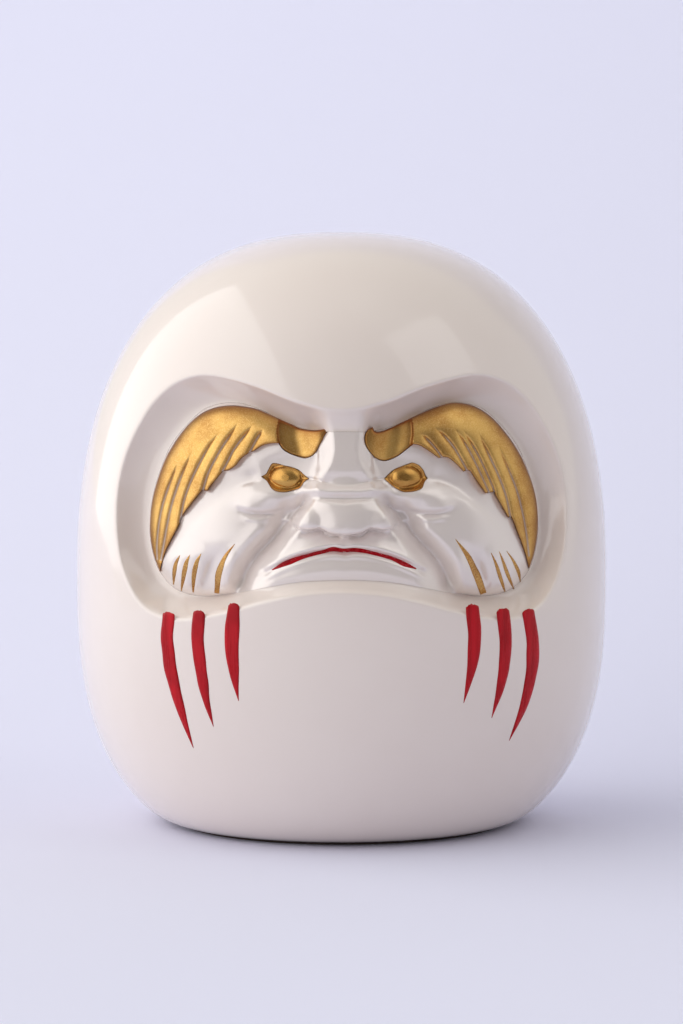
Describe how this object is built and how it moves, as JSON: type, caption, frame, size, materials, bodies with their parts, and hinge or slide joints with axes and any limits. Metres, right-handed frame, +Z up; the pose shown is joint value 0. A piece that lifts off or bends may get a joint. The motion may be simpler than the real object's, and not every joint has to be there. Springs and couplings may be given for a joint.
{
  "type": "daruma doll",
  "caption": "Round-bodied weighted doll with a relief face set in a recessed niche and a flat foot, for standing on a shelf.",
  "frame": {"origin": "centre of the foot, on the surface the doll stands on", "axes": "+Z up through the crown; the face looks along -Y; +X is towards the viewer's right when facing the doll"},
  "size_m": [0.108, 0.104, 0.12],
  "materials": {
    "white_lacquer": "gloss",
    "pearl_lacquer": "satin",
    "gold": "satin",
    "red_lacquer": "gloss",
    "clay": "matte",
    "grey_board": "matte",
    "dark_card": "matte"
  },
  "bodies": {
    "root": {"body_shell": "white_lacquer", "face_mask": "pearl_lacquer", "brow_left": "gold", "brow_right": "gold", "eye_left": "gold", "eye_right": "gold", "base_weight": "clay", "base_plate": "grey_board", "foot_disc": "dark_card"}
  },
  "joints": []
}
